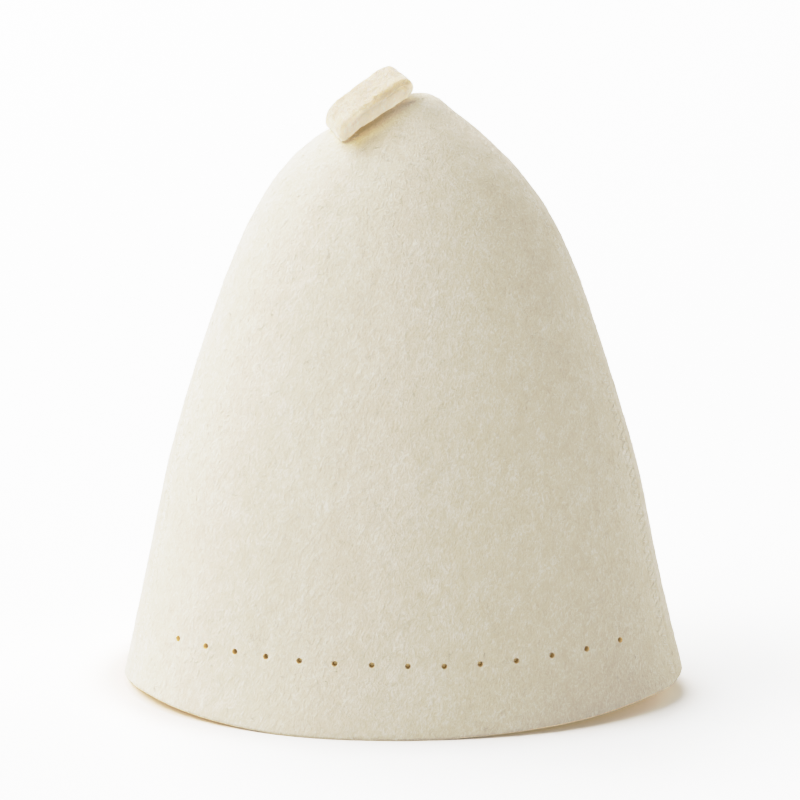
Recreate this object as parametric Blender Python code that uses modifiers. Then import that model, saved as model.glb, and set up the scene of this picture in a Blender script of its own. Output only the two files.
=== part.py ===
"""A sauna hat: a tall pointed bell of thick felt, sewn from a front and a back panel, with a folded felt loop.

Metres, +Z up, front towards -Y. The hat stands on its rim, with the origin under the middle of the rim.
"""

import math

import bpy
import numpy as np
from mathutils import Matrix, Vector

FELT = 0.003
SEAM_GAP = 0.0003

# One row per level of the outer felt surface: height, half width, half depth, shift of the centre to the right.
PROFILE = np.array(
    [
        (0.0, 0.1226, 0.0803, 0.0),
        (0.030, 0.1164, 0.0763, 0.0),
        (0.065, 0.1094, 0.0716, 0.0),
        (0.100, 0.1019, 0.0668, 0.0),
        (0.134, 0.0924, 0.0605, 0.0),
        (0.164, 0.0826, 0.0541, 0.0),
        (0.189, 0.0734, 0.0481, 0.0),
        (0.211, 0.0629, 0.0412, -0.0003),
        (0.229, 0.0505, 0.0331, -0.0005),
        (0.243, 0.0363, 0.0247, 0.0005),
        (0.253, 0.0202, 0.0158, 0.0030),
        (0.2595, 0.0095, 0.0081, 0.0065),
        (0.262, 0.0, 0.0, 0.0085),
    ]
)
HEIGHT = PROFILE[-1, 0]
SKEW = 0.0046  # the lying oval is pushed a little out of square, most at the rim
RIM_DIP = 0.0003  # the rim line starts this far under the floor, so that trimming leaves it flat
LIFT_LEFT = 0.0076  # the rim's rise at the two sides
LIFT_RIGHT = 0.0117
LIFT_FREE = 0.06  # the part of the turn, front and back, where the rim lies flat
LIFT_TOP = 0.106  # above this height the rise has faded out

AROUND = 64
STEPS_PER_ROW = 2

HOLE_COUNT = 14
HOLE_RADIUS = 0.0012
HOLE_SIDES = 12
HOLE_LEVEL = 0.0311
HOLE_PITCH = 0.01551  # along the felt
HOLE_ROW_SHIFT = 0.0044  # of the row's middle, to the right

SEAM_TURN = 0.0517  # depth per width of the seam plane, which runs through the apex
SEAM_LEAN = 0.0855  # how far the seams come forward per height below the apex

LOOP_FOOT = Vector((-0.0234, -0.0101, 0.2487))  # under the sewn end, at the strip's middle
LOOP_ALONG = Vector((0.806, 0.301, 0.509))
LOOP_UP = Vector((-0.386, -0.385, 0.838))
LOOP_WIDTH = 0.0198
LOOP_EDGE = 0.0005
# Side outline of the folded strip: distance along the loop from its foot, height off the crown.
LOOP_OUTSIDE = [
    (-0.0049, 0.0),
    (-0.0050, 0.0022),
    (-0.0040, 0.0046),
    (-0.0010, 0.0066),
    (0.0040, 0.0080),
    (0.0100, 0.0086),
    (0.0200, 0.0088),
    (0.0290, 0.0088),
    (0.0318, 0.0081),
    (0.0337, 0.0064),
    (0.0343, 0.0044),
    (0.0337, 0.0023),
    (0.0318, 0.0007),
    (0.0290, 0.0),
]
LOOP_INSIDE = [
    (0.0010, 0.0033),
    (0.0022, 0.0040),
    (0.0055, 0.0048),
    (0.0110, 0.0053),
    (0.0200, 0.0055),
    (0.0292, 0.0055),
    (0.0305, 0.0051),
    (0.0310, 0.0044),
    (0.0305, 0.0037),
    (0.0292, 0.0033),
]


def remove_all():
    for obj in list(bpy.data.objects):
        bpy.data.objects.remove(obj)


def new_collection(name, hidden=False):
    made = bpy.data.collections.new(name)
    bpy.context.scene.collection.children.link(made)
    made.hide_render = hidden
    return made


def new_mesh_object(name, points, faces, collection):
    mesh = bpy.data.meshes.new(name)
    mesh.from_pydata(points, [], faces)
    mesh.update()
    made = bpy.data.objects.new(name, mesh)
    collection.objects.link(made)
    return made


def felt_material(name, color):
    made = bpy.data.materials.new(name)
    made.use_nodes = True
    shader = made.node_tree.nodes["Principled BSDF"]
    shader.inputs["Base Color"].default_value = (*color, 1.0)
    shader.inputs["Roughness"].default_value = 0.95
    return made


def row_at(place):
    """The profile at a place counted in rows, on a smooth curve through them. It ends level at the apex."""
    below = 2 * PROFILE[0] - PROFILE[1]
    beyond = PROFILE[-2] * (1, -1, -1, -1) + (0, 0, 0, 2 * PROFILE[-1, 3])
    rows = np.vstack([below, PROFILE, beyond])
    first = min(int(place), len(PROFILE) - 2)
    f = place - first
    p0, p1, p2, p3 = rows[first : first + 4]
    curve = 2 * p1 + (p2 - p0) * f + (2 * p0 - 5 * p1 + 4 * p2 - p3) * f**2
    return 0.5 * (curve + (3 * p1 - p0 - 3 * p2 + p3) * f**3)


def rim_lift(turn):
    """How far the rim stands off the floor at a turn from the front, positive to the right."""
    side = max(0.0, 1 - abs(math.cos(turn)) - LIFT_FREE) / (1 - LIFT_FREE)
    right = 0.5 + 0.5 * math.sin(turn)
    return side * (LIFT_LEFT * (1 - right) + LIFT_RIGHT * right)


def felt_point(place, turn):
    height, half_width, half_depth, shift = row_at(place)
    faded = max(0.0, 1 - height / LIFT_TOP) ** 2
    skew = SKEW * (1 - height / HEIGHT)
    return np.array(
        (
            shift + half_width * math.sin(turn),
            -half_depth * math.cos(turn) + skew * math.sin(2 * turn),
            height + (rim_lift(turn) - RIM_DIP) * faded,
        )
    )


def bell_mesh():
    """Points and faces of the outer felt surface, open at the rim."""
    places = np.linspace(0, len(PROFILE) - 1, (len(PROFILE) - 1) * STEPS_PER_ROW + 1)
    turns = np.linspace(0, math.tau, AROUND, endpoint=False)
    points = [felt_point(place, turn) for place in places[:-1] for turn in turns]
    apex = len(points)
    points.append(felt_point(places[-1], 0.0))
    faces = []
    for ring in range(len(places) - 2):
        for i in range(AROUND):
            low, high = ring * AROUND, (ring + 1) * AROUND
            following = (i + 1) % AROUND
            faces.append((low + i, low + following, high + following, high + i))
    top = apex - AROUND
    faces += [(top + i, top + (i + 1) % AROUND, apex) for i in range(AROUND)]
    return points, faces


def block(name, low, high, collection, matrix=Matrix()):
    bpy.ops.mesh.primitive_cube_add(size=1)
    made = bpy.context.object
    made.name = name
    low, high = Vector(low), Vector(high)
    made.data.transform(matrix @ Matrix.Translation((low + high) / 2) @ Matrix.Diagonal((*(high - low), 1)))
    return as_cutter(made, collection)


def as_cutter(obj, collection):
    for owner in list(obj.users_collection):
        owner.objects.unlink(obj)
    collection.objects.link(obj)
    obj.hide_render = True
    obj.display_type = "WIRE"
    return obj


def cut(obj, cutter, name):
    modifier = obj.modifiers.new(name, "BOOLEAN")
    modifier.operation = "DIFFERENCE"
    modifier.solver = "EXACT"
    modifier.object = cutter


def seam_frame():
    """A frame at the apex whose XZ plane is the seam plane and whose Y axis points to the back."""
    across = Vector((1, SEAM_TURN, 0)).normalized()
    rising = Vector((0, SEAM_LEAN, 1))
    back = rising.cross(across).normalized()
    apex = Vector((PROFILE[-1, 3], 0, HEIGHT))
    turned = Matrix((across, back, across.cross(back))).transposed()
    return Matrix.Translation(apex) @ turned.to_4x4()


def hole_turns(place):
    """Turns that lie one pitch apart along the felt at this level."""
    turns = np.linspace(-math.pi / 2, math.pi / 2, 721)
    line = np.array([felt_point(place, turn) for turn in turns])
    run = np.concatenate([[0.0], np.cumsum(np.linalg.norm(np.diff(line, axis=0), axis=1))])
    run -= np.interp(0.0, turns, run)
    wanted = HOLE_ROW_SHIFT + HOLE_PITCH * (np.arange(HOLE_COUNT) - (HOLE_COUNT - 1) / 2)
    return np.interp(wanted, run, turns)


def hole_cutters(collection):
    place = np.interp(HOLE_LEVEL, PROFILE[:, 0], np.arange(len(PROFILE)))
    step = 0.01
    drills = []
    for turn in hole_turns(place):
        centre = felt_point(place, turn)
        around = felt_point(place, turn + step) - centre
        upward = felt_point(place + step, turn) - centre
        outward = Vector(np.cross(around, upward))
        bpy.ops.mesh.primitive_cylinder_add(
            vertices=HOLE_SIDES,
            radius=HOLE_RADIUS,
            depth=6 * FELT,
            location=centre,
            rotation=outward.to_track_quat("Z", "Y").to_euler(),
        )
        drills.append(bpy.context.object)
    for drill in drills:
        drill.select_set(True)
    bpy.ops.object.join()
    made = bpy.context.object
    made.name = "hole_cutters"
    bpy.ops.object.transform_apply(location=True, rotation=True, scale=True)
    return as_cutter(made, collection)


def panel(name, collection, material, cutters):
    made = new_mesh_object(name, *bell_mesh(), collection)
    wall = made.modifiers.new("felt", "SOLIDIFY")
    wall.thickness = FELT
    wall.offset = -1
    wall.use_even_offset = True
    for cutter in cutters:
        cut(made, cutter, cutter.name)
    made.data.shade_smooth()
    made.data.materials.append(material)
    return made


def loop_curve(name, collection, material):
    """The folded strip: its side outline with the gap left open, as wide as the strip."""
    curve = bpy.data.curves.new(name, "CURVE")
    curve.dimensions = "2D"
    curve.fill_mode = "BOTH"
    for outline in (LOOP_OUTSIDE, LOOP_INSIDE):
        line = curve.splines.new("POLY")
        line.points.add(len(outline) - 1)
        for point, (along, up) in zip(line.points, outline, strict=True):
            point.co = (along, up, 0, 1)
        line.use_cyclic_u = True
    curve.extrude = LOOP_WIDTH / 2 - LOOP_EDGE
    curve.bevel_depth = LOOP_EDGE
    curve.bevel_resolution = 1
    curve.offset = -LOOP_EDGE
    along = LOOP_ALONG.normalized()
    up = (LOOP_UP - LOOP_UP.dot(along) * along).normalized()
    turned = Matrix((along, up, along.cross(up))).transposed()
    made = bpy.data.objects.new(name, curve)
    made.matrix_world = Matrix.Translation(LOOP_FOOT) @ turned.to_4x4()
    collection.objects.link(made)
    curve.materials.append(material)
    return made


def main():
    remove_all()
    hat = new_collection("sauna_hat")
    helpers = new_collection("sauna_hat_cutters", hidden=True)

    reach = 2 * HEIGHT
    floor = block("floor_cutter", (-reach, -reach, -0.1), (reach, reach, 0), helpers)
    seam = seam_frame()
    half_gap = SEAM_GAP / 2
    behind = block("behind_seam", (-reach, -half_gap, -reach), (reach, reach, reach), helpers, seam)
    ahead = block("ahead_of_seam", (-reach, -reach, -reach), (reach, half_gap, reach), helpers, seam)
    holes = hole_cutters(helpers)

    cream = (0.76, 0.71, 0.60)
    panel("front_panel", hat, felt_material("front_felt", cream), (floor, behind, holes))
    panel("back_panel", hat, felt_material("back_felt", cream), (floor, ahead))
    loop_curve("hanging_loop", hat, felt_material("loop_felt", cream))


main()
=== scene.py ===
"""The looks of a cream felt sauna hat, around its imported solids.

Metres, +Z up, front towards -Y. The felt surface is a smooth table of lying ovals, like that of the solids.
A place counts along the rows of that table, and a turn is the angle round it, from the front to the right.
Side 1 is the right seam and side -1 the left one.
"""

import math

import bpy
import numpy as np
from mathutils import Matrix, Quaternion, Vector
from mathutils.bvhtree import BVHTree
from mathutils.kdtree import KDTree


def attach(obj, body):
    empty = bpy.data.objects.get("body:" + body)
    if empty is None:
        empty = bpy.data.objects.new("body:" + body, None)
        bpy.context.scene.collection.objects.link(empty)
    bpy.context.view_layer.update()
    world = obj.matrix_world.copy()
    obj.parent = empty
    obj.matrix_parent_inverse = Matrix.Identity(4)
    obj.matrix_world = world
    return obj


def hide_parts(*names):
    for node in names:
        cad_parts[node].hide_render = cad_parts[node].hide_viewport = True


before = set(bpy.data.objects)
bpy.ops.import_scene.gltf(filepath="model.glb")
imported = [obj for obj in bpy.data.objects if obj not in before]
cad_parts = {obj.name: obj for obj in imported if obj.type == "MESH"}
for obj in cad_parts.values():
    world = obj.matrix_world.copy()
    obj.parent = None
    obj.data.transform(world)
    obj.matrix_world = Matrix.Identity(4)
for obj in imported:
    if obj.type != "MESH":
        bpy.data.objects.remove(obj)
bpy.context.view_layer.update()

MM = 0.001
FELT = 3.0 * MM

# One row per level of the outer felt surface: height, half width, half depth, shift of the centre right.
PROFILE = np.array([
    (0.0, 0.1228, 0.0840, 0.0),
    (0.030, 0.1164, 0.0768, 0.0),
    (0.065, 0.1094, 0.0716, 0.0),
    (0.100, 0.1019, 0.0668, 0.0),
    (0.134, 0.0924, 0.0605, 0.0),
    (0.164, 0.0826, 0.0541, 0.0),
    (0.189, 0.0734, 0.0481, 0.0),
    (0.211, 0.0629, 0.0412, -0.0003),
    (0.229, 0.0505, 0.0331, -0.0005),
    (0.243, 0.0358, 0.0247, 0.0002),
    (0.253, 0.0203, 0.0158, 0.0032),
    (0.2595, 0.0092, 0.0081, 0.0063),
    (0.262, 0.0, 0.0, 0.0085),
])
LAST = len(PROFILE) - 1
HEIGHT = PROFILE[-1, 0]
APEX_X = PROFILE[-1, 3]
# At the rim's left the front and the back stand out this much, at its right they stand in. It fades upwards.
SKEW = 4.6 * MM
# How far the rim stands off the floor: turn in degrees, height in millimetres.
RIM_LIFTS = np.array([
    (-180, 0.6), (-140, 0.2), (-100, 0.1), (-90, 0.3), (-82, 1.1),
    (-72, 3.1), (-63, 4.4), (-50, 3.5), (-40, 2.2), (-30, 1.0),
    (-20, 0.1), (0, 0.0), (12, 0.1), (20, 0.9), (30, 1.8),
    (40, 2.9), (50, 4.5), (60, 6.4), (68, 7.3), (76, 7.2),
    (84, 7.9), (95, 8.9), (115, 7.5), (145, 3.4), (180, 0.6),
])
# Its rows are eased over this many degrees to each side, and the lift has faded out at this height.
RIM_EASE = 6
LIFT_TOP = 0.106
FLOOR_GAP = 0.05 * MM

# Where the two seams run: place, turn of the left seam and of the right seam in degrees.
SEAMS = np.array([
    (0.0, -70.4, 79.6), (2.0, -71.6, 80.4), (4.0, -74.0, 80.6), (6.0, -77.0, 78.6),
    (7.5, -79.0, 77.8), (9.0, -81.2, 80.0), (10.0, -83.0, 87.0), (12.0, -84.4, 92.0),
])
# Its rows are eased over this many places to each side.
SEAM_EASE = 0.9

# The felt's waves: height in millimetres, length, seed and number. The lengths vary by these factors.
RELIEF = [(0.05, 6 * MM, 3, 60), (0.10, 16 * MM, 2, 36), (0.30, 70 * MM, 1, 36)]
WAVE_LENGTHS = (0.7, 1.5)

# A short step in place or in turn, to tell a direction.
SMALL_STEP = 1e-3


# The felt surface


def smooth_curve(rows, places):
    """Points on a smooth curve through rows. The first row and the last one only give its direction."""
    first = np.clip(np.floor(places).astype(int), 0, len(rows) - 4)
    f = (places - first)[..., None]
    p0, p1, p2, p3 = rows[first], rows[first + 1], rows[first + 2], rows[first + 3]
    curve = 2 * p1 + (p2 - p0) * f + (2 * p0 - 5 * p1 + 4 * p2 - p3) * f**2
    return 0.5 * (curve + (3 * p1 - p0 - 3 * p2 + p3) * f**3)


def profile_at(places):
    """Height, half width, half depth and shift at places along the table."""
    below = 2 * PROFILE[0] - PROFILE[1]
    beyond = PROFILE[-2] * (1, -1, -1, -1) + (0, 0, 0, 2 * APEX_X)
    return np.moveaxis(smooth_curve(np.vstack([below, PROFILE, beyond]), places), -1, 0)


def rim_lift(turns):
    """How far the rim stands off the floor, eased between the rows of the table."""
    degrees = np.degrees(turns)[..., None] + np.linspace(-RIM_EASE, RIM_EASE, 7)
    degrees = (degrees + 180) % 360 - 180
    return np.interp(degrees, RIM_LIFTS[:, 0], RIM_LIFTS[:, 1]).mean(axis=-1) * MM


def felt_point(places, turns):
    places, turns = np.broadcast_arrays(np.asarray(places, float), np.asarray(turns, float))
    height, half_width, half_depth, shift = profile_at(places)
    faded = np.clip(1 - height / LIFT_TOP, 0, 1) ** 2
    skew = SKEW * (1 - height / HEIGHT)
    x = shift + half_width * np.sin(turns)
    y = -half_depth * np.cos(turns) + skew * np.sin(2 * turns)
    return np.stack([x, y, height + rim_lift(turns) * faded], -1)


def unit(vectors):
    return vectors / np.maximum(np.linalg.norm(vectors, axis=-1, keepdims=True), 1e-12)


def felt_frame(places, turns):
    """Point, direction around, direction up the felt and outward normal."""
    step = SMALL_STEP
    places, turns = np.broadcast_arrays(np.asarray(places, float), np.asarray(turns, float))
    inner = np.clip(places, step, LAST - 2 * step)
    around = unit(felt_point(inner, turns + step) - felt_point(inner, turns - step))
    upward = felt_point(inner + step, turns) - felt_point(inner - step, turns)
    normal = unit(np.cross(around, upward))
    return felt_point(places, turns), around, unit(np.cross(normal, around)), normal


def runs_of(line):
    """The distance run along a line of points."""
    return np.concatenate([[0], np.cumsum(np.linalg.norm(np.diff(line, axis=0), axis=1))])


def seam_turns(places):
    """The turns of the left and the right seam at places, eased between the rows of the table."""
    nearby = np.linspace(-SEAM_EASE, SEAM_EASE, 13)
    spread = np.clip(places[:, None] + nearby[None, :], 0, LAST)
    return [np.radians(np.interp(spread, SEAMS[:, 0], SEAMS[:, i]).mean(axis=1)) for i in (1, 2)]


def waves(points, length, seed, count):
    """A smooth random field over points, about -1 to 1: the sum of waves that are about this long."""
    draw = np.random.RandomState(seed)
    direction = unit(draw.normal(size=(count, 3)))
    scale = 2 * math.pi / (length * draw.uniform(*WAVE_LENGTHS, count))
    phase = draw.uniform(0, 2 * math.pi, count)
    flat = points.reshape(-1, 3)
    total = np.zeros(len(flat))
    for way, k, start in zip(direction, scale, phase):
        total += np.sin(flat @ way * k + start)
    return (total * math.sqrt(2 / count) / 2).reshape(points.shape[:-1])


def wavy(points, rows):
    """The sum of several fields of waves, each with its height."""
    return sum(height * waves(points, length, seed, count) for height, length, seed, count in rows)


def felt_relief(points):
    """How far the felt stands out of the smooth surface: soft waves and lumps."""
    return wavy(points, RELIEF) * MM


# Mesh helpers


def linked(name, data):
    """A new object in the scene."""
    made = bpy.data.objects.new(name, data)
    bpy.context.scene.collection.objects.link(made)
    return made


def new_object(name, points, faces, smooth=True):
    mesh = bpy.data.meshes.new(name)
    mesh.from_pydata(np.asarray(points).tolist(), [], faces)
    mesh.update()
    if smooth:
        mesh.shade_smooth()
    return linked(name, mesh)


def grid_faces(rows, columns):
    start = (np.arange(rows - 1)[:, None] * columns + np.arange(columns - 1)[None, :]).ravel()
    return np.stack([start, start + 1, start + columns + 1, start + columns], 1).tolist()


def ring_faces(first, rings, sides):
    """The faces of a closed tube whose points go ring by ring, from the point with this number on."""
    last = first + (rings - 1) * sides
    faces = [[first + i for i in range(sides)][::-1], [last + i for i in range(sides)]]
    for base in range(first, last, sides):
        for i in range(sides):
            j = (i + 1) % sides
            faces.append([base + i, base + j, base + sides + j, base + sides + i])
    return faces


def apply_modifiers(obj):
    graph = bpy.context.evaluated_depsgraph_get()
    graph.update()
    final = bpy.data.meshes.new_from_object(obj.evaluated_get(graph))
    old = obj.data
    obj.modifiers.clear()
    obj.data = final
    bpy.data.meshes.remove(old)


def read(items, what, width=3, kind=np.float32):
    """So many numbers for each vertex, face or triangle of a mesh."""
    values = np.empty(len(items) * width, kind)
    items.foreach_get(what, values)
    return values.reshape(-1, width)


def tube(points, radius, sides):
    """Points and faces of a closed tube along a line."""
    along = unit(np.gradient(points, axis=0))
    askew = unit(np.array([0.31, 0.22, 0.93]))
    across = unit(np.cross(along, askew))
    over = np.cross(along, across)
    turn = np.arange(sides) * 2 * math.pi / sides
    ring = across[:, None] * np.cos(turn)[None, :, None] + over[:, None] * np.sin(turn)[None, :, None]
    rings = points[:, None] + radius * ring
    return rings.reshape(-1, 3), ring_faces(0, len(points), sides)


# The panels' grid

PANEL_ROWS = 250
MIDDLE_COLUMNS = 116
EDGE_COLUMNS = 17
# The columns are closer together in this zone beside a seam, and the panels stay this far from the seam.
EDGE_ZONE = 8 * MM
SEAM_OPENING = 0.04 * MM
# Near the apex both shrink to these shares of the row.
EDGE_ZONE_SHARE = 0.22
SEAM_OPENING_SHARE = 0.02

RIM_ROUND = 1.35 * MM
RIM_STEPS = 6
# Fine points at which the wall, at this turn, and each row are measured.
WALL_SAMPLES = 2401
ROW_SAMPLES = 361
WALL_TURN = math.radians(45)


def wall_section():
    """Place and depth of each row of the grid, from the inside of the apex round the rim to its outside."""
    fine = np.linspace(0, LAST, WALL_SAMPLES)
    run = runs_of(felt_point(fine, WALL_TURN))
    wall = np.linspace(RIM_ROUND, run[-1], PANEL_ROWS)
    arc = np.radians(np.linspace(0, 90, RIM_STEPS + 1))[1:]
    outer = np.concatenate([wall[::-1], RIM_ROUND * (1 - np.sin(arc))])
    depth = np.concatenate([0 * wall, RIM_ROUND * (1 - np.cos(arc))])
    runs = np.concatenate([outer, outer[::-1]])[::-1]
    depths = np.concatenate([depth, FELT - depth[::-1]])[::-1]
    return np.interp(runs, run, fine), depths


section_places, section_depths = wall_section()
row_places = section_places[-PANEL_ROWS:]
left_turns, right_turns = seam_turns(row_places)


def panel_grid(front):
    """The turns of a panel's grid, row by row, closer together near its two seams."""
    left, right = seam_turns(section_places)
    start = left if front else right
    end = right if front else left + 2 * math.pi
    rows = []
    for place, low, high in zip(section_places, start, end):
        turns = np.linspace(low, high, ROW_SAMPLES)
        run = runs_of(felt_point(min(place, LAST - SMALL_STEP), turns))
        length = run[-1]
        zone = min(EDGE_ZONE, EDGE_ZONE_SHARE * length)
        opening = min(SEAM_OPENING, SEAM_OPENING_SHARE * length)
        edge = np.linspace(opening, zone, EDGE_COLUMNS + 1)
        middle = np.linspace(zone, length - zone, MIDDLE_COLUMNS + 1)[1:-1]
        rows.append(np.interp(np.concatenate([edge, middle, length - edge[::-1]]), run, turns))
    return np.array(rows)


# The seams

STITCH_PITCH = 4.25 * MM
STITCH_WIDTH = 6.0 * MM
# The first needle point's distance from the rim, and how far below the apex the row of them ends.
STITCH_START = 2.2 * MM
STITCH_END = 9 * MM
# How far the needle points stray along the seam and across it.
STITCH_STRAY = (0.12 * MM, 0.15 * MM)
# How plainly the stitches show, 0 to 1, by height, and how much of it is left on the left seam.
STITCH_HEIGHTS = (0.02, 0.06, 0.12, 0.17)
STITCH_SHOWS = (0.6, 1.0, 1.0, 0.4)
STITCH_LEFT = 0.55

# The needle's dents: radius, depth in millimetres, and the red, green and blue that are lost at the bottom,
# as painted shade.
DENT_RADIUS = 1.05 * MM
DENT_DEPTH = 0.6
DENT_SHADE_LOSS = (0.17, 0.19, 0.24)
# The felt is pressed in along the seam and in a band under the stitches. Depths are in millimetres.
VALLEY_DEPTH = 0.10
VALLEY_WIDTH = 0.9 * MM
BAND_DEPTH = 0.12
BAND_MARGIN = 0.3 * MM
BAND_SOFTNESS = 0.6 * MM
# No felt further from the seam than this, in width, is pressed in.
PRESS_REACH = 0.03

THREAD_RADIUS = 0.23 * MM
THREAD_SIDES = 6
# The thread between two needle points: share of the way, height over the felt in millimetres.
THREAD_ARCH = [(0.0, -0.6), (0.12, -0.2), (0.3, -0.03), (0.5, 0.0), (0.7, -0.03), (0.88, -0.2)]
# It sinks this deep where the stitches don't show, and follows the pressed felt by this share.
THREAD_SINKS = 0.26 * MM
THREAD_FOLLOWS = 0.6


def seam_line(side):
    """The distance run from the rim and the turns along a seam."""
    turns = right_turns if side > 0 else left_turns
    return runs_of(felt_point(row_places, turns)), turns


def beside_seam(side, run_wanted, offset):
    """Place and turn of a point beside a seam. A positive offset is to the right."""
    run, turns = seam_line(side)
    place = np.interp(run_wanted, run, row_places)
    turn = np.interp(run_wanted, run, turns)
    way = felt_point(place, turn + SMALL_STEP) - felt_point(place, turn - SMALL_STEP)
    speed = np.linalg.norm(way, axis=-1) / (2 * SMALL_STEP)
    return place, turn + offset / np.maximum(speed, 1e-4)


def needle_points(side):
    """Where the needle went in, from the rim to the top: the distance run and the offset across the seam."""
    run, _ = seam_line(side)
    count = int((run[-1] - STITCH_END) / (STITCH_PITCH / 2))
    draw = np.random.RandomState(40 + side)
    numbers = np.arange(count)
    wanted = STITCH_START + STITCH_PITCH / 2 * numbers + draw.normal(0, STITCH_STRAY[0], count)
    offset = STITCH_WIDTH / 2 * np.where(numbers % 2 == 0, 1, -1) + draw.normal(0, STITCH_STRAY[1], count)
    return wanted, offset


def stitches_show(height, side):
    return np.interp(height, STITCH_HEIGHTS, STITCH_SHOWS) * (1.0 if side > 0 else STITCH_LEFT)


def needle_dents(points, side):
    """How deep each point lies in the dents that the needle left, from 0 to 1."""
    needles = felt_point(*beside_seam(side, *needle_points(side)))
    index = np.nonzero(points[:, 0] * side > 0)[0]
    dent = np.zeros(len(points))
    tree = KDTree(len(needles))
    for i, needle in enumerate(needles):
        tree.insert(needle, i)
    tree.balance()
    apart = np.array([tree.find(point)[2] for point in points[index]])
    dent[index] = np.exp(-((apart / DENT_RADIUS) ** 2)) * stitches_show(points[index, 2], side)
    return dent


def seam_press(points, side):
    """How far the felt is pressed in near a seam: along it, under the stitches and in the dents."""
    line = felt_point(row_places, right_turns if side > 0 else left_turns)
    flat = points.reshape(-1, 3)
    near = np.abs(np.interp(flat[:, 2], line[:, 2], line[:, 0]) - flat[:, 0]) < PRESS_REACH
    index = np.nonzero(near)[0]
    picked = flat[index]
    apart = np.full(len(picked), np.inf)
    block = 4000
    for i in range(0, len(picked), block):
        way = picked[i : i + block, None] - line[None]
        apart[i : i + block] = np.sqrt((way**2).sum(-1).min(1))
    valley = VALLEY_DEPTH * np.exp(-((apart / VALLEY_WIDTH) ** 2))
    band = BAND_DEPTH / (1 + np.exp((apart - STITCH_WIDTH / 2 - BAND_MARGIN) / BAND_SOFTNESS))
    press = np.zeros(len(flat))
    press[index] = (valley + band + DENT_DEPTH * needle_dents(picked, side)) * MM
    return press.reshape(points.shape[:-1])


def seam_thread(name, side):
    run, offset = needle_points(side)
    along, across, height = [], [], []
    for i in range(len(run) - 1):
        for f, lift in THREAD_ARCH:
            along.append(run[i] + f * (run[i + 1] - run[i]))
            across.append(offset[i] + f * (offset[i + 1] - offset[i]))
            height.append(lift * MM)
    points, _, _, normal = felt_frame(*beside_seam(side, np.array(along), np.array(across)))
    press = seam_press(points, side)
    sunk = THREAD_SINKS * (1 - stitches_show(points[:, 2], side))
    height = felt_relief(points) - THREAD_FOLLOWS * press + np.array(height) - sunk
    return new_object(name, *tube(points + normal * height[:, None], THREAD_RADIUS, THREAD_SIDES))


# The holes

HOLE_RADIUS = 1.2 * MM
HOLE_LEVEL = 31.1 * MM
# The row is punched by hand: distance round the felt from its front and height, in millimetres.
HOLES = np.array([
    (-95.7, 30.1), (-79.4, 30.9), (-64.6, 31.5), (-50.0, 31.7), (-34.9, 31.6),
    (-19.5, 31.4), (-3.7, 31.3), (11.6, 30.9), (27.0, 30.5), (42.4, 30.5),
    (58.1, 30.5), (74.1, 30.8), (90.5, 30.9), (107.9, 30.9),
])
# The punch leaves the hole narrower by this share at the inner face, and higher there.
HOLE_TAPER = 0.3
HOLE_RISE = 0.35 * MM
HOLE_SIDES = 20
# Fine points at which the row of holes is measured.
HOLE_ROW_SAMPLES = 1441
# The cutter's rings, by their height over the outer face.
HOLE_RINGS = (-5 * MM, -2.4 * MM, -1.8 * MM, -1.3 * MM, -0.9 * MM, -0.5 * MM, -0.2 * MM, 2 * MM)


def hole_places():
    """Place and turn of each hole."""
    turns = np.linspace(-math.pi / 2, math.pi / 2, HOLE_ROW_SAMPLES)
    rows = np.arange(len(PROFILE))
    run = runs_of(felt_point(np.interp(HOLE_LEVEL, PROFILE[:, 0], rows), turns))
    run -= np.interp(0, turns, run)
    return np.interp(HOLES[:, 1] * MM, PROFILE[:, 0], rows), np.interp(HOLES[:, 0] * MM, run, turns)


def hole_cutter():
    points, faces = [], []
    for place, turn in zip(*hole_places()):
        faces += ring_faces(len(points), len(HOLE_RINGS), HOLE_SIDES)
        centre, around, upward, normal = felt_frame(place, turn)
        for depth in HOLE_RINGS:
            share = -depth / FELT
            radius = HOLE_RADIUS * (1 - HOLE_TAPER * share)
            middle = centre + depth * normal + HOLE_RISE * share * upward
            for angle in np.arange(HOLE_SIDES) * 2 * math.pi / HOLE_SIDES:
                points.append(middle + radius * (around * math.cos(angle) + upward * math.sin(angle)))
    cutter = new_object("hole_cutter", points, faces, smooth=False)
    cutter.data.materials.append(bpy.data.materials.new("cut"))
    return cutter


# Marks on the meshes, which the materials read

# The walls of the holes, how much light comes through the felt, and what it loses of its colour as painted
# shade.
HOLE_WALL = "hole_wall"
LIT_BEHIND = "lit_behind"
PAINTED_SHADE_MARK = "painted_shade"

# Outside is told from inside by the way from the hat's middle, in which height counts for less.
HAT_MIDDLE = (0, 0, 0.1)
OUTWARD_SHARES = (1, 1, 0.3)
# A face looks into the hat when the cosine between its normal and that way is less than this.
INSIDE_TURN = -0.2
# The rim's underside lies lower than this, and its normals point down by more than this.
RIM_TOP = 12 * MM
UNDERSIDE_TURN = -0.4
# How much more light comes through the left end of the rim, where the hat stands off the floor.
RIM_LEFT_GLOW = 2.6
RIM_LEFT_ENDS = (-0.10, -0.055)
# The hole walls' light, by how far right of the middle they are, and what is left of it by their depth.
HOLE_LIGHT_PLACES = (-100 * MM, -50 * MM, 0, 50 * MM, 100 * MM)
HOLE_LIGHTS = (3.4, 2.2, 0.9, 1.5, 2.6)
HOLE_LIGHT_DEPTHS = (0.1 * MM, 0.7 * MM, 1.3 * MM, 2.2 * MM)
HOLE_LIGHT_LEFT = (1.0, 0.5, 0.1, 0.0)

# Painted shadow under the loop: the crown is darker and more golden there. The red, green and blue that are
# lost, by distance.
SHELTER_DISTANCES = (0.0, 4 * MM, 8 * MM, 14 * MM, 21 * MM)
SHELTER_SHADE_LOSSES = [
    (0.10, 0.17, 0.30, 0.12, 0),
    (0.21, 0.26, 0.34, 0.13, 0),
    (0.46, 0.43, 0.39, 0.15, 0),
]
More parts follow.
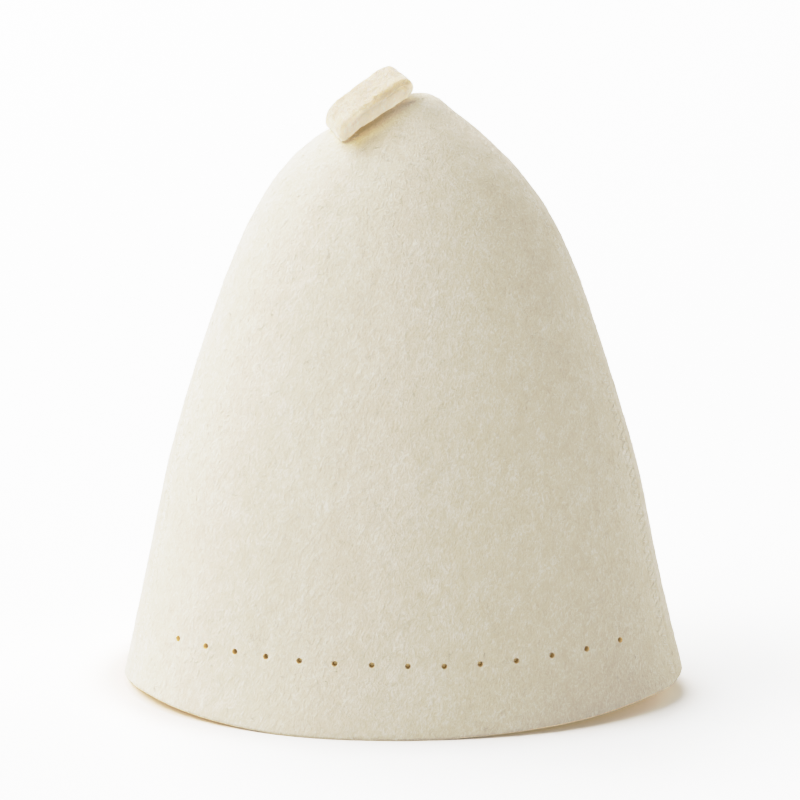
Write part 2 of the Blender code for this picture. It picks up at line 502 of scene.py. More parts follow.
# What is left of that by the distance along the loop. Nothing lower than the bottom is sheltered.
SHELTER_ALONG = (-8 * MM, 0.5 * MM, 6 * MM, 14 * MM, 28 * MM)
SHELTER_SHARES = (0.0, 1.15, 1.15, 0.85, 0.0)
SHELTER_BOTTOM = 0.21


def outward_ways(places):
    return (places - HAT_MIDDLE) * OUTWARD_SHARES


def mark(mesh, name, domain, values, kind="FLOAT", field="value"):
    made = mesh.attributes.new(name, kind, domain)
    made.data.foreach_set(field, np.asarray(values, np.float32).ravel())


def mark_hole_walls(mesh):
    """Marks the walls that the cutter left, by 1 at each corner, and tells which faces they are."""
    cut, size = (read(mesh.polygons, what, 1, np.int32)[:, 0] for what in ("material_index", "loop_total"))
    mark(mesh, HOLE_WALL, "CORNER", np.repeat(cut, size))
    mesh.polygons.foreach_set("material_index", np.zeros_like(cut))
    return cut > 0


def hole_light(places):
    """The hole walls' light at places on them: brighter at the sides of the hat and near the outer face."""
    middles, _, _, out = felt_frame(*hole_places())
    away = places[:, None] - middles
    nearest = np.argmin(np.linalg.norm(away, axis=-1), axis=1)
    depth = -(away * out).sum(-1)[np.arange(len(nearest)), nearest]
    across = np.interp(places[:, 0], HOLE_LIGHT_PLACES, HOLE_LIGHTS)
    return across * np.interp(depth, HOLE_LIGHT_DEPTHS, HOLE_LIGHT_LEFT)


def mark_inside(mesh, walls):
    """The hole walls, the rim's underside and the faces that look into the hat are lit from behind."""
    centre, normal = (read(mesh.polygons, what) for what in ("center", "normal"))
    outward = outward_ways(centre)
    inside = (outward * normal).sum(1) < INSIDE_TURN * np.linalg.norm(outward, axis=1)
    low = centre[:, 2] < RIM_TOP
    underside = (normal[:, 2] < UNDERSIDE_TURN) & low
    left = 1 + RIM_LEFT_GLOW * low * np.interp(centre[:, 0], RIM_LEFT_ENDS, (1, 0))
    values = (inside | underside) * left
    values[walls] = hole_light(centre[walls])
    mark(mesh, LIT_BEHIND, "FACE", values)


def mark_painted_shade(panel_mesh, loop_mesh):
    """The painted shade of each vertex of a panel: what it loses of its colour in the shade under the loop
    and in the needle dents.
    """
    corners = [v.co for v in loop_mesh.vertices]
    tree = BVHTree.FromPolygons(corners, [tuple(p.vertices) for p in loop_mesh.polygons])
    place = read(panel_mesh.vertices, "co")
    dents = needle_dents(place, 1) + needle_dents(place, -1)
    loss = np.ones((len(place), 4), np.float32)
    loss[:, :3] = dents[:, None] * DENT_SHADE_LOSS
    for i in np.nonzero(place[:, 2] >= SHELTER_BOTTOM)[0]:
        apart = tree.find_nearest(place[i], SHELTER_DISTANCES[-1])[3]
        if apart is not None:
            along = (place[i] - LOOP_FOOT) @ LOOP_ALONG
            share = np.interp(along, SHELTER_ALONG, SHELTER_SHARES)
            loss[i, :3] = [share * np.interp(apart, SHELTER_DISTANCES, losses) for losses in SHELTER_SHADE_LOSSES]
    mark(panel_mesh, PAINTED_SHADE_MARK, "POINT", loss, "FLOAT_COLOR", "color")


# The panels

TIP_WELD = 1e-6
SHARP_ANGLE = math.radians(50)


def panel_points(turns):
    """The points of a panel's grid: the inner face, the rounded rim and the outer face."""
    places = np.broadcast_to(section_places[:, None], turns.shape)
    points, _, _, normal = felt_frame(places, turns)
    normal[[0, -1]] = (0, 0, 1)
    press = np.zeros(turns.shape)
    outside = slice(len(turns) // 2, len(turns))
    press[outside] = seam_press(points[outside], 1) + seam_press(points[outside], -1)
    points = points + normal * (felt_relief(points) - press - section_depths[:, None])[..., None]
    for tip in (0, -1):
        points[tip] = points[tip].mean(axis=0)
    return points


def panel_faces(rows, columns):
    """The faces of a panel's grid, and those that close it along its two seams."""
    faces = grid_faces(rows, columns)
    straight = rows // 2 - RIM_STEPS
    for column, turned in ((0, 1), (columns - 1, -1)):
        inner = [i * columns + column for i in range(straight)]
        outer = [(rows - 1 - i) * columns + column for i in range(straight)]
        for i in range(straight - 1):
            faces.append([inner[i], inner[i + 1], outer[i + 1], outer[i]][::turned])
        faces.append([i * columns + column for i in range(straight - 1, rows - straight + 1)][::turned])
    return faces


def panel(name, front, cutter=None):
    turns = panel_grid(front)
    made = new_object(name, panel_points(turns).reshape(-1, 3), panel_faces(*turns.shape))
    weld = made.modifiers.new("tip", "WELD")
    weld.merge_threshold = TIP_WELD
    if cutter is not None:
        made.data.materials.append(bpy.data.materials.new("uncut"))
        holes = made.modifiers.new("holes", "BOOLEAN")
        holes.operation = "DIFFERENCE"
        holes.solver = "EXACT"
        holes.material_mode = "TRANSFER"
        holes.object = cutter
    apply_modifiers(made)
    mesh = made.data
    places = read(mesh.vertices, "co")
    places[:, 2] = np.maximum(places[:, 2], FLOOR_GAP)
    mesh.vertices.foreach_set("co", places.ravel())
    walls = np.zeros(len(mesh.polygons), bool) if cutter is None else mark_hole_walls(mesh)
    mark_inside(mesh, walls)
    mesh.materials.clear()
    mesh.shade_smooth()
    mesh.set_sharp_from_angle(angle=SHARP_ANGLE)
    mesh.update()
    return made


# The hanging loop

LOOP_FOOT = np.array((-23.4, -10.1, 248.7)) * MM
LOOP_ALONG = unit(np.array((0.806, 0.301, 0.509)))
LOOP_UP = np.array((-0.386, -0.385, 0.838))
LOOP_UP = unit(LOOP_UP - LOOP_UP @ LOOP_ALONG * LOOP_ALONG)
# Towards the front.
LOOP_ACROSS = np.cross(LOOP_ALONG, LOOP_UP)
LOOP_WIDTH = 19.8 * MM
LOOP_CORNER = 1.6 * MM
# The outer face of the folded strip, in millimetres: distance along the loop, height off the crown, thickness
# there and rounding of its inner edges. The lower layer is puffed up and closes the gap but for the fold.
LOOP_ROWS = [
    (-3.2, -1.3, 3.2, 1.0), (-1.4, -0.7, 4.6, 1.5), (1.5, -0.1, 4.5, 1.9), (6.0, 0.3, 4.9, 2.2),
    (12.0, 0.4, 5.2, 2.5), (19.0, 0.3, 5.3, 2.6), (25.0, 0.3, 5.4, 2.4), (29.5, 0.8, 5.0, 1.9),
    (32.4, 2.2, 4.0, 1.5), (33.4, 4.9, 3.3, 1.2), (32.3, 8.0, 3.3, 1.2), (29.0, 9.6, 3.3, 1.2),
    (24.0, 9.6, 3.4, 1.2), (18.0, 9.3, 3.5, 1.2), (12.0, 8.9, 3.2, 1.2), (6.0, 8.3, 3.1, 1.2),
    (1.0, 7.5, 3.6, 1.3), (-2.8, 5.8, 5.4, 1.6), (-4.9, 2.8, 5.6, 1.8), (-5.5, 0.2, 5.0, 1.8),
    (-4.4, -1.1, 4.0, 1.4), (-2.4, -1.2, 3.0, 1.0),
]
# Fine points to a row, at which the strip is measured.
LOOP_SAMPLES = 40
LOOP_RINGS = 190
# Points across each face of the strip and round each of its edges.
LOOP_FACE_POINTS = 40
LOOP_EDGE_POINTS = 7
LOOP_VOXEL = 0.28 * MM
LOOP_SOFTENING = 16
# The back edge of the fold lies nearer to the foot than the front edge, from FOLD_START along the loop on.
FOLD_SLANT = 1.6 * MM
FOLD_START = 14 * MM
FOLD_LENGTH = 18 * MM
# The loop's lumps: height in millimetres, length, seed and number of waves.
LOOP_RELIEF = [(0.2, 8 * MM, 11, 60), (0.09, 2.6 * MM, 12, 80)]
# Small pits in the top face, in millimetres: distances along and across, radius. All are at PIT_LEVEL.
LOOP_PITS = [
    (2.0, 9.4, 0.9), (4.3, 9.6, 0.7), (6.7, 8.0, 0.8), (11.0, 9.3, 0.8),
    (16.5, 9.0, 0.7), (21.0, 6.5, 0.6), (13.5, 5.0, 0.6),
]
PIT_LEVEL = 8.8
PIT_DEPTH = 0.6
# Light comes through the upward faces near the foot, through the lower layer and through what faces down:
# distances or turns, and the light there.
FOOT_LIGHT = ((8 * MM, 20 * MM), (1.05, 0.35))
FOOT_LIGHT_TURN = ((0.4, 0.9), (1, 0))
LOWER_LIGHT = ((5.2 * MM, 7.2 * MM), (1, 0))
LOWER_LIGHT_ALONG = ((-2 * MM, 5 * MM), (0, 1))


def smooth_line(points, count):
    """A smooth curve through points, at evenly spaced places along it."""
    rows = np.vstack([2 * points[0] - points[1], points, 2 * points[-1] - points[-2]])
    line = smooth_curve(rows, np.linspace(0, len(points) - 1, LOOP_SAMPLES * len(points)))
    run = runs_of(line)
    wanted = np.linspace(0, run[-1], count)
    return np.stack([np.interp(wanted, run, line[:, i]) for i in range(line.shape[1])], 1)


def strip_section():
    """The points round a strip: side across, share of a rounding, side in depth, share of a rounding."""
    points = []
    for across, inner, start in ((1, 1, 0), (-1, 1, 90), (-1, -1, 180), (1, -1, 270)):
        for angle in np.radians(start + np.linspace(0, 90, LOOP_EDGE_POINTS)):
            points.append((across, math.cos(angle), inner, math.sin(angle)))
        if across == inner:
            for share in np.linspace(1, -1, LOOP_FACE_POINTS + 2)[1:-1]:
                points.append((across * share, 0.0, inner, float(inner)))
    return np.array(points)


def loop_points():
    """The points of the folded strip, ring by ring from one end to the other, with its lumps and pits."""
    rows = smooth_line(np.array(LOOP_ROWS) * MM, LOOP_RINGS)
    line, thickness, inner_round = rows[:, :2], rows[:, 2:3], rows[:, 3:4]
    along = unit(np.gradient(line, axis=0))
    outward = np.stack([along[:, 1], -along[:, 0]], 1)
    across_side, across_round, depth_side, depth_round = strip_section().T
    rounding = np.where(depth_side > 0, inner_round, LOOP_CORNER)
    flat_half = LOOP_WIDTH / 2 - LOOP_CORNER
    across = across_side * flat_half + across_round * LOOP_CORNER + 0 * rounding
    depth = np.where(depth_side > 0, thickness - inner_round, LOOP_CORNER) + depth_round * rounding
    flat = line[:, None] - outward[:, None] * depth[..., None]
    fold = np.clip((flat[..., 0] - FOLD_START) / FOLD_LENGTH, 0, 1) ** 2
    run = flat[..., 0] - FOLD_SLANT * fold * (0.5 - across / LOOP_WIDTH)
    points = LOOP_FOOT + run[..., None] * LOOP_ALONG + flat[..., 1:] * LOOP_UP
    points = points + across[..., None] * LOOP_ACROSS
    normal = -unit(np.cross(np.roll(points, -1, 1) - np.roll(points, 1, 1), np.gradient(points, axis=0)))
    lumps = wavy(points, LOOP_RELIEF)
    for pit_run, pit_across, radius in LOOP_PITS:
        pit = LOOP_FOOT + (pit_run * LOOP_ALONG + PIT_LEVEL * LOOP_UP + pit_across * LOOP_ACROSS) * MM
        lumps = lumps - PIT_DEPTH * np.exp(-((points - pit) ** 2).sum(-1) / (radius * MM) ** 2)
    return points + normal * (lumps * MM)[..., None]


def hanging_loop(name):
    points = loop_points()
    made = new_object(name, points.reshape(-1, 3), ring_faces(0, *points.shape[:2]))
    # The two ends of the strip run into each other at the foot: they become one skin.
    skin = made.modifiers.new("skin", "REMESH")
    skin.mode = "VOXEL"
    skin.voxel_size = LOOP_VOXEL
    skin.use_smooth_shade = True
    soft = made.modifiers.new("soft", "SMOOTH")
    soft.factor = 0.5
    soft.iterations = LOOP_SOFTENING
    apply_modifiers(made)
    centre, normal = (read(made.data.polygons, what) for what in ("center", "normal"))
    upward, run = normal @ LOOP_UP, (centre - LOOP_FOOT) @ LOOP_ALONG
    foot = np.interp(run, *FOOT_LIGHT) * np.interp(upward, *FOOT_LIGHT_TURN)
    lower = np.interp((centre - LOOP_FOOT) @ LOOP_UP, *LOWER_LIGHT) * np.interp(run, *LOWER_LIGHT_ALONG)
    mark(made.data, LIT_BEHIND, "FACE", np.max((foot, -upward, lower), axis=0))
    return made


# Loose wool

FIBRE_STEPS = 5
PANEL_FIBRES = 6000
LOOP_FIBRES = 900
# The direction in which most of the panels' fibres lie.
WOOL_LEAN = (0.4, 0.0, 1.0)
# This share of the usual number of fibres lies on the panels' inner face.
INNER_FIBRES = 0.1
FIBRE_LENGTH = 2.6 * MM
FIBRE_LENGTH_SPREAD = 0.42
FIBRE_LENGTHS = (1.1 * MM, 5.5 * MM)
# This share of the fibres is off the lean by about this angle, and the others by up to the wide angle.
COMBED_SHARE = 0.6
COMBED_ANGLE = 0.5
WIDE_ANGLE = 1.6
# How much a fibre bends at each step: alike at all its steps, and by chance at each.
BEND_ALIKE = 0.26
BEND_CHANCE = 0.16
# A step that gets shorter than this share is where the felt ends. So more fibres are tried than are kept.
SHORT_STEP = 0.6
TRIES = 1.5
# Heights over the felt in millimetres: the arch of a fibre that lies on it, and the end that stands up.
ARCHES = (0.02, 0.16)
STANDING_ENDS = (0.25, 0.75)
STANDING_SHARE = 0.2
# How deep the ends of the fibres are rooted, in millimetres.
ROOTED = 0.05
# A fibre's radius in millimetres, and the share of it towards which the ends taper.
FIBRE_RADII = (0.04, 0.08)
THIN_END = 0.45


def fibre_starts(mesh, tries, draw, inner_share):
    """Places drawn evenly over a mesh, the normals there, and the mesh as a tree to look places up in."""
    mesh.calc_loop_triangles()
    corner = read(mesh.vertices, "co").astype(float)
    triangle = read(mesh.loop_triangles, "vertices", kind=np.int32)
    a, b, c = (corner[triangle[:, i]] for i in range(3))
    cross = np.cross(b - a, c - a)
    inside = (cross * outward_ways(a)).sum(1) < 0
    weight = np.linalg.norm(cross, axis=1) * np.where(inside, inner_share, 1.0)
    picked = draw.choice(len(triangle), tries, p=weight / weight.sum())
    u, v = draw.uniform(size=(2, tries))
    over = u + v > 1
    u, v = np.where(over, 1 - u, u)[:, None], np.where(over, 1 - v, v)[:, None]
    start = a[picked] + u * (b - a)[picked] + v * (c - a)[picked]
    return start, unit(cross[picked]), BVHTree.FromPolygons(corner.tolist(), triangle.tolist())


def follow_felt(tree, place, out, way, step, bend):
    """A fibre's points on the felt and the normals there. They are fewer where the felt ends."""
    line, up = [place], [out]
    for turn in bend:
        way.rotate(Quaternion(out, turn))
        found, out, _, _ = tree.find_nearest(place + way * step)
        if (found - place).length < SHORT_STEP * step:
            break
        way = found - place
        way = (way - way.dot(out) * out).normalized()
        place = found
        line.append(place)
        up.append(out)
    return line, up


def fibre_tubes(lines, ups, draw):
    """Points and faces of thin closed tubes along the lines. Some have an end that stands up."""
    count = len(lines)
    share = np.linspace(0, 1, FIBRE_STEPS + 1)
    bow = np.sin(math.pi * share)
    arch = draw.uniform(*ARCHES, count)[:, None] * bow - ROOTED * (1 - bow)
    stand = draw.uniform(*STANDING_ENDS, count)[:, None] * share**1.6 - ROOTED
    rise = np.where(draw.uniform(size=count)[:, None] < STANDING_SHARE, stand, arch) * MM
    lines = lines + ups * rise[..., None]
    side = unit(np.cross(np.gradient(lines, axis=1), ups))
    thickness = THIN_END + (1 - THIN_END) * np.sin(math.pi * (0.1 + 0.8 * share))
    radius = draw.uniform(*FIBRE_RADII, count)[:, None] * thickness * MM
    corners = []
    for angle in (90, 210, 330):
        ring = side * math.cos(math.radians(angle)) + ups * math.sin(math.radians(angle))
        corners.append(lines + ring * radius[..., None])
    points = np.stack(corners, 2).reshape(-1, 3)
    ends = np.arange(count)[:, None] * 3 * (FIBRE_STEPS + 1)
    first = (ends + 3 * np.arange(FIBRE_STEPS)).ravel()
    quads = []
    for j, k in ((0, 1), (1, 2), (2, 0)):
        quads.append(np.stack([first + j, first + k, first + 3 + k, first + 3 + j], 1))
    faces = np.concatenate(quads).tolist()
    faces += (ends + (2, 1, 0)).tolist() + (ends + 3 * FIBRE_STEPS + (0, 1, 2)).tolist()
    return points, faces


def fibres(name, base, count, seed, lean=None):
    """Loose wool fibres that follow the surface of a piece. Without a lean they lie in any direction."""
    draw = np.random.RandomState(seed)
    tries = int(count * TRIES)
    starts, facing, tree = fibre_starts(base.data, tries, draw, INNER_FIBRES if lean else 1.0)
    length = np.clip(draw.lognormal(math.log(FIBRE_LENGTH), FIBRE_LENGTH_SPREAD, tries), *FIBRE_LENGTHS)
    near = draw.uniform(size=tries) < COMBED_SHARE
    heading = draw.normal(0, COMBED_ANGLE, tries)
    heading = np.where(near, heading, draw.uniform(-WIDE_ANGLE, WIDE_ANGLE, tries)) * (1 if lean else 2)
    bend = draw.normal(0, BEND_ALIKE, tries)[:, None] + draw.normal(0, BEND_CHANCE, (tries, FIBRE_STEPS))
    lines, ups = [], []
    for i in range(tries):
        if len(lines) == count:
            break
        out = Vector(facing[i])
        way = Vector(lean) if lean else out.orthogonal()
        way = (way - way.dot(out) * out).normalized()
        way.rotate(Quaternion(out, heading[i]))
        line, up = follow_felt(tree, Vector(starts[i]), out, way, length[i] / FIBRE_STEPS, bend[i])
        if len(line) == FIBRE_STEPS + 1:
            lines.append(line)
            ups.append(up)
    return new_object(name, *fibre_tubes(np.array(lines), np.array(ups), draw))


# Materials

# Each felt's colours: dark, middle and light.
CREAM = ((0.69, 0.59, 0.43), (0.795, 0.72, 0.58), (0.895, 0.84, 0.725))
# A lighter copy of the cream for the threads and loose wool: painted light, so that they look brighter than
# the felt and their shaded sides don't show dark.
LIT_PALE = ((0.80, 0.74, 0.61), (0.87, 0.82, 0.71), (0.93, 0.89, 0.80))
WARM = ((0.54, 0.42, 0.27), (0.65, 0.54, 0.39), (0.75, 0.665, 0.53))
# The mixed noises times this scale give the tone. Dark and light are a spread away from its middle.
TONE_SCALE = 0.72
TONE_MIDDLE = 0.82
TONE_SPREAD = 0.5
# The hole walls' golden colour is a painted glow of the light that scatters in the felt there.
HOLE_GLOW_COLOR = (0.65, 0.48, 0.23)
# The felt lets some light through: a face glows by its mark times this strength.
HAT_LIGHT = 0.12
HAT_LIGHT_COLOR = (1.0, 0.76, 0.34)
LOOP_LIGHT = 0.34
LOOP_LIGHT_COLOR = (1.0, 0.925, 0.76)
LOOP_SOFT_REACH = 4.5 * MM
# Curly hairs, combed three ways: angle in degrees, stretch, scale, share.
HAIRS = [(26, 3.4, 620.0, 0.5), (-8, 3.0, 480.0, 0.34), (68, 2.6, 520.0, 0.2)]
HAIR_SHARPNESS = 7.0


def node(tree, kind, **values):
    """A new node, with values of its inputs or of its own properties."""
    made = tree.nodes.new(kind)
    for key, value in values.items():
        if key in made.inputs:
            made.inputs[key].default_value = value
        else:
            setattr(made, key, value)
    return made


def join(output, socket):
    socket.id_data.links.new(output, socket)


def math_node(tree, operation, first, second, clamp=False):
    made = node(tree, "ShaderNodeMath", operation=operation, use_clamp=clamp)
    for socket, value in zip(made.inputs, (first, second)):
        if isinstance(value, (int, float)):
            socket.default_value = value
        else:
            join(value, socket)
    return made.outputs[0]


def noise_value(tree, place, scale, detail, roughness=0.55, distortion=0.0):
    noise = node(tree, "ShaderNodeTexNoise", Scale=scale, Detail=detail, Roughness=roughness)
    noise.inputs["Distortion"].default_value = distortion
    join(place, noise.inputs["Vector"])
    return noise.outputs["Fac"]


def combed(tree, place, angle, stretch):
    """Places squeezed along a direction in the front view, so that what is drawn there is long that way."""
    turned = node(tree, "ShaderNodeMapping", vector_type="TEXTURE")
    turned.inputs["Rotation"].default_value = (0.0, math.radians(angle), 0.0)
    turned.inputs["Scale"].default_value = (1.0, 1.0, stretch)
    join(place, turned.inputs["Vector"])
    return turned.outputs["Vector"]


def curls(tree, place, scale):
    """Thin bright curls: the level lines of a twisted noise."""
    noise = noise_value(tree, place, scale, detail=1.0, roughness=0.5, distortion=1.0)
    away = math_node(tree, "ABSOLUTE", math_node(tree, "SUBTRACT", noise, 0.5), 0.0)
    return math_node(tree, "SUBTRACT", 1.0, math_node(tree, "MULTIPLY", away, HAIR_SHARPNESS), clamp=True)


def mixed(tree, shares):
    """The sum of values, each with its share."""
    total = 0.0
    for value, share in shares:
        total = math_node(tree, "ADD", math_node(tree, "MULTIPLY", value, share), total)
    return total


def color_ramp(tree, value, stops):
    """The colour for a value, by a list of values and their colours."""
    ramp = node(tree, "ShaderNodeValToRGB")
    elements = ramp.color_ramp.elements
    while len(elements) < len(stops):
        elements.new(0.5)
    for element, (position, color) in zip(elements, stops):
        element.position = position
        element.color = (*color, 1)
    join(value, ramp.inputs["Fac"])
    return ramp.outputs["Color"]


def felt_pattern(tree):
    """Two values over the felt: its tone and its height."""
    place = node(tree, "ShaderNodeTexCoord").outputs["Object"]
    ways = []
    for angle, stretch, scale, share in HAIRS:
        ways.append((curls(tree, combed(tree, place, angle, stretch), scale), share))
    hairs = mixed(tree, ways)
    strokes = combed(tree, place, angle=22, stretch=2.9)
    strokes = noise_value(tree, strokes, scale=1500.0, detail=2.0, roughness=0.65, distortion=0.6)
    grain = noise_value(tree, place, scale=2600.0, detail=1.0)
    clumps = combed(tree, place, angle=20, stretch=1.8)
    clumps = noise_value(tree, clumps, scale=190.0, detail=2.0, roughness=0.6)
    blotches = noise_value(tree, place, scale=38.0, detail=3.0, roughness=0.6)
    tone = mixed(tree, ((hairs, 0.4), (strokes, 0.85), (grain, 0.3), (clumps, 0.42), (blotches, 0.22)))
    height = mixed(tree, ((hairs, 0.8), (strokes, 0.8), (grain, 0.2)))
    return math_node(tree, "MULTIPLY", tone, TONE_SCALE), height


def felt_material(name, colors, relief, soft_reach=None, light=HAT_LIGHT, light_color=HAT_LIGHT_COLOR):
    """Wool felt in three colours. A soft reach is how far light spreads inside it."""
    made = bpy.data.materials.new(name)
    made.use_nodes = True
    tree = made.node_tree
    shader = tree.nodes["Principled BSDF"]
    shader.inputs["Roughness"].default_value = 0.95
    shader.inputs["Specular IOR Level"].default_value = 0.1
    shader.inputs["Sheen Weight"].default_value = 0.08
    shader.inputs["Sheen Tint"].default_value = (0.72, 0.74, 1.0, 1)
    shader.inputs["Sheen Roughness"].default_value = 0.6
    if soft_reach:
        shader.inputs["Subsurface Weight"].default_value = 1.0
        shader.inputs["Subsurface Radius"].default_value = (1.0, 0.8, 0.5)
        shader.inputs["Subsurface Scale"].default_value = soft_reach

    tone, height = felt_pattern(tree)
    stops = zip((TONE_MIDDLE - TONE_SPREAD, TONE_MIDDLE, TONE_MIDDLE + TONE_SPREAD), colors)
    # The hole walls take the golden colour of the painted glow.
    walls = node(tree, "ShaderNodeAttribute", attribute_name=HOLE_WALL)
    holes = node(tree, "ShaderNodeMix", data_type="RGBA")
    join(walls.outputs["Fac"], holes.inputs[0])
    join(color_ramp(tree, tone, list(stops)), holes.inputs[6])
    holes.inputs[7].default_value = (*HOLE_GLOW_COLOR, 1)
    # Painted shade under the loop and in the needle dents: the colour times what the mark leaves of it.
    lost = node(tree, "ShaderNodeAttribute", attribute_name=PAINTED_SHADE_MARK)
    kept = node(tree, "ShaderNodeVectorMath", operation="SUBTRACT")
    kept.inputs[0].default_value = (1, 1, 1)
    join(lost.outputs["Color"], kept.inputs[1])
    sheltered = node(tree, "ShaderNodeMix", data_type="RGBA", blend_type="MULTIPLY")
    sheltered.inputs[0].default_value = 1.0
    join(holes.outputs[2], sheltered.inputs[6])
    join(kept.outputs[0], sheltered.inputs[7])
    join(sheltered.outputs[2], shader.inputs["Base Color"])

    behind = node(tree, "ShaderNodeAttribute", attribute_name=LIT_BEHIND)
    shader.inputs["Emission Color"].default_value = (*light_color, 1)
    join(math_node(tree, "MULTIPLY", behind.outputs["Fac"], light), shader.inputs["Emission Strength"])
    made.cycles.emission_sampling = "NONE"

    bump = node(tree, "ShaderNodeBump", Strength=0.6, Distance=relief)
    join(height, bump.inputs["Height"])
    join(bump.outputs["Normal"], shader.inputs["Normal"])
    return made


# Camera, light and floor

# The camera, fitted to the photograph: degrees from the front to the right, degrees up and metres away.
CAMERA_TURN = 7
CAMERA_RISE = 15
CAMERA_DISTANCE = 1.965
# The sensor's width in millimetres, the picture's in pixels, and pixels in a metre at the aim.
SENSOR_WIDTH = 36
PICTURE_WIDTH = 800
PIXELS_PER_METRE = 2312.0
# A point of the hat, and how many pixels right of the picture's middle and above it that point shows.
AIM = (0, 0, 0.1275)
AIM_RIGHT = 2.49
AIM_ABOVE = 1.49

# Large soft lights: bearing from the front towards the left and height in degrees, power in watts.
LIGHTS = [
    (0, 15, 32), (60, 45, 240), (90, 15, 52), (90, 45, 250),
    (120, 45, 21), (150, 50, 308), (-60, 20, 98), (-135, 20, 186),
]
LIGHT_DISTANCE = 6.0
LIGHT_SIZE = 4.2
LIGHT_TARGET = (0, 0, 0.12)
BACKDROP_GLOW = 2.6

FLOOR_HALF = 6.0
FLOOR_SHADE = 1.4
# The floor is darker where the hat hides much of the room within this reach. Its colour by how open it is,
# in shares of CONTACT_TOP: round the hat, and under its left rim, where light comes through.
CONTACT_REACH = 0.025
CONTACT_SAMPLES = 8
CONTACT_TOP = 1.6
CONTACT_SHADE = [(0, (0.26, 0.225, 0.20)), (1, (0.625, 0.625, 0.625))]
CONTACT_LEFT_SHADE = [
    (0, (0.95, 0.95, 0.95)), (0.3, (0.66, 0.59, 0.54)),
    (0.55, (0.36, 0.315, 0.28)), (0.75, (0.45, 0.41, 0.38)),
    (0.9, (0.59, 0.57, 0.555)), (1, (0.625, 0.625, 0.625)),
]
# A greyer sheet under the floor, unseen by the camera, throws light back onto the hat.
BOUNCE_SHADE = 0.65
BOUNCE_HEIGHT = -0.1 * MM

# The camera's response: light in, light shown.
TONE_WHITE = 3.0
TONE = [
    (0.2, 0.2), (0.4, 0.398), (0.55, 0.56), (0.69, 0.662),
    (0.78, 0.716), (0.92, 0.775), (1.08, 0.831), (1.22, 0.86),
    (1.35, 0.88), (1.55, 0.902), (2.0, 0.945),
]


def way_out(bearing, height):
    """The way out by a bearing, from the front towards the left, and by a height, both in degrees."""
    turn, lift = math.radians(bearing), math.radians(height)
    return Vector((-math.sin(turn) * math.cos(lift), -math.cos(turn) * math.cos(lift), math.sin(lift)))


def camera():
    turn = math.radians(CAMERA_TURN)
    right = Vector((math.cos(turn), math.sin(turn), 0))
    forward = -way_out(-CAMERA_TURN, CAMERA_RISE)
    up = right.cross(forward)
    centre = Vector(AIM) - right * (AIM_RIGHT / PIXELS_PER_METRE) - up * (AIM_ABOVE / PIXELS_PER_METRE)
    data = bpy.data.cameras.new("camera")
    data.sensor_width = SENSOR_WIDTH
    data.lens = PIXELS_PER_METRE * CAMERA_DISTANCE * SENSOR_WIDTH / PICTURE_WIDTH
    made = linked("camera", data)
    turned = Matrix((right, up, -forward)).transposed().to_4x4()
    made.matrix_world = Matrix.Translation(centre - forward * CAMERA_DISTANCE) @ turned
    bpy.context.scene.camera = made


def area_light(name, bearing, height, power):
    data = bpy.data.lights.new(name, "AREA")
    data.shape = "RECTANGLE"
    data.size = data.size_y = LIGHT_SIZE
    data.energy = power
    target = Vector(LIGHT_TARGET)
    place = target + way_out(bearing, height) * LIGHT_DISTANCE
    turned = (target - place).to_track_quat("-Z", "Y").to_matrix().to_4x4()
    linked(name, data).matrix_world = Matrix.Translation(place) @ turned


def backdrop():
    """A white room that only the camera sees."""
    world = bpy.data.worlds.new("studio")
    world.use_nodes = True
    tree = world.node_tree
    tree.nodes.clear()
    seen = node(tree, "ShaderNodeBackground", Color=(1, 1, 1, 1), Strength=BACKDROP_GLOW)
    unlit = node(tree, "ShaderNodeBackground", Color=(0, 0, 0, 1), Strength=0.0)
    mix = node(tree, "ShaderNodeMixShader")
    rays = node(tree, "ShaderNodeLightPath")
    out = node(tree, "ShaderNodeOutputWorld")
    join(rays.outputs["Is Camera Ray"], mix.inputs[0])
    join(unlit.outputs[0], mix.inputs[1])
    join(seen.outputs[0], mix.inputs[2])
    join(mix.outputs[0], out.inputs[0])
    bpy.context.scene.world = world


def contact_color(tree, shade):
    """The floor's colour near the hat. Under its left rim the shade is soft and rosy."""
    openness = node(tree, "ShaderNodeAmbientOcclusion", samples=CONTACT_SAMPLES, Distance=CONTACT_REACH)
    place, apart = node(tree, "ShaderNodeTexCoord"), node(tree, "ShaderNodeSeparateXYZ")
    join(place.outputs["Object"], apart.inputs[0])
    leftness = node(tree, "ShaderNodeMapRange")
    for socket, value in zip(leftness.inputs[1:5], (*RIM_LEFT_ENDS, 1, 0)):
        socket.default_value = value
    join(apart.outputs["X"], leftness.inputs[0])
    shaded = node(tree, "ShaderNodeMix", data_type="RGBA")
    join(leftness.outputs[0], shaded.inputs[0])
    for socket, stops in zip(shaded.inputs[6:8], (CONTACT_SHADE, CONTACT_LEFT_SHADE)):
        join(color_ramp(tree, openness.outputs["AO"], stops), socket)
    bright = node(tree, "ShaderNodeVectorMath", operation="MULTIPLY")
    bright.inputs[1].default_value = (shade * CONTACT_TOP,) * 3
    join(shaded.outputs[2], bright.inputs[0])
    return bright.outputs[0]


def floor_sheet(name, height, shade, contact):
    h = FLOOR_HALF
    corners = [(-h, -h, height), (h, -h, height), (h, h, height), (-h, h, height)]
    sheet = new_object(name, corners, [(0, 1, 2, 3)])
    made = bpy.data.materials.new(name)
    made.use_nodes = True
    tree = made.node_tree
    tree.nodes.clear()
    shader = node(tree, "ShaderNodeBsdfDiffuse", Color=(shade, shade, shade, 1), Roughness=0.0)
    if contact:
        join(contact_color(tree, shade), shader.inputs["Color"])
    out = node(tree, "ShaderNodeOutputMaterial")
    join(shader.outputs[0], out.inputs[0])
    sheet.data.materials.append(made)
    return sheet


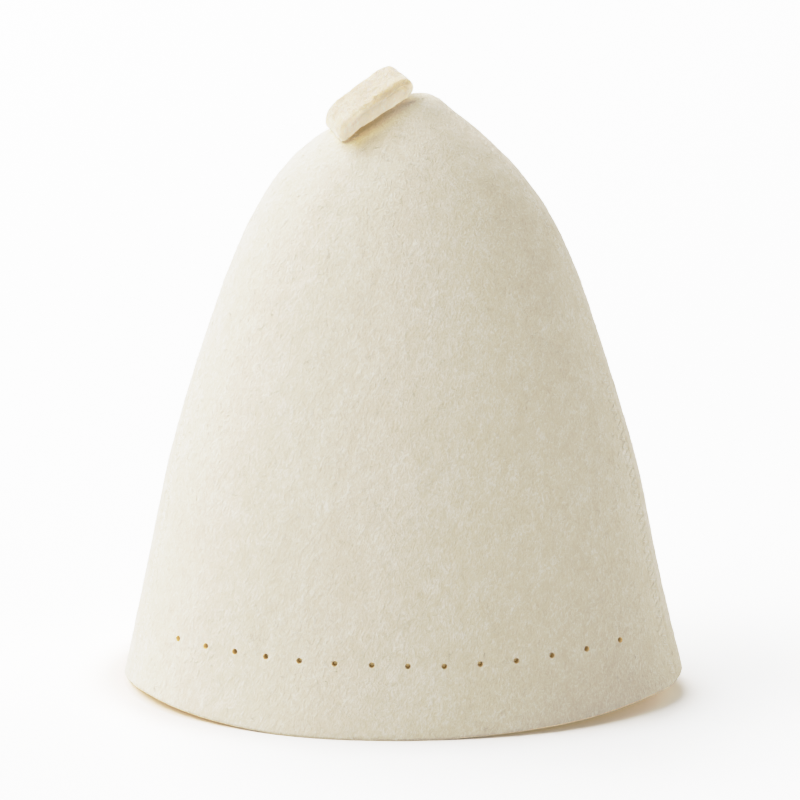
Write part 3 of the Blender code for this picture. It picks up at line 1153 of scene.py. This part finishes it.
def studio():
    backdrop()
    for bearing, height, power in LIGHTS:
        area_light(f"light_{bearing}_{height}", bearing, height, power)
    shown = floor_sheet("floor", 0.0, FLOOR_SHADE, contact=True)
    for rays in ("diffuse", "glossy", "transmission", "volume_scatter", "shadow"):
        setattr(shown, f"visible_{rays}", False)
    floor_sheet("floor_bounce", BOUNCE_HEIGHT, BOUNCE_SHADE, contact=False).visible_camera = False


def response():
    view = bpy.context.scene.view_settings
    view.view_transform = "Standard"
    view.look = "None"
    view.use_curve_mapping = True
    mapping = view.curve_mapping
    mapping.white_level = (TONE_WHITE,) * 3
    curve = mapping.curves[3]
    for light, shown in TONE:
        curve.points.new(light / TONE_WHITE, shown)
    mapping.update()


def main():
    response()
    camera()
    studio()

    body_felt = felt_material("body_felt", CREAM, relief=0.35 * MM)
    loop_felt = felt_material("loop_felt", WARM, 0.35 * MM, LOOP_SOFT_REACH, LOOP_LIGHT, LOOP_LIGHT_COLOR)
    thread_felt = felt_material("seam_thread", LIT_PALE, relief=0.1 * MM)
    loose_wool = felt_material("loose_wool", LIT_PALE, relief=0.05 * MM)

    cutter = hole_cutter()
    front = panel("felt_front", True, cutter)
    back = panel("felt_back", False)
    loop = hanging_loop("felt_loop")
    bpy.data.objects.remove(cutter)
    for felt in (front, back):
        mark_painted_shade(felt.data, loop.data)
    # Each piece, the solid that it stands for, its slot and its material.
    pieces = [
        (front, "front_panel", "front_felt", body_felt),
        (back, "back_panel", "back_felt", body_felt),
        (loop, "hanging_loop", "loop_felt", loop_felt),
        (seam_thread("right_stitches", 1), None, "back_felt", thread_felt),
        (seam_thread("left_stitches", -1), None, "back_felt", thread_felt),
        (fibres("front_wool", front, PANEL_FIBRES, 21, WOOL_LEAN), None, "front_felt", loose_wool),
        (fibres("back_wool", back, PANEL_FIBRES, 22, WOOL_LEAN), None, "back_felt", loose_wool),
        (fibres("loop_wool", loop, LOOP_FIBRES, 23), None, "loop_felt", loose_wool),
    ]
    for piece, replaced, slot, material in pieces:
        piece.data.materials.append(material)
        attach(piece, "root")
        if replaced:
            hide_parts(replaced)


main()
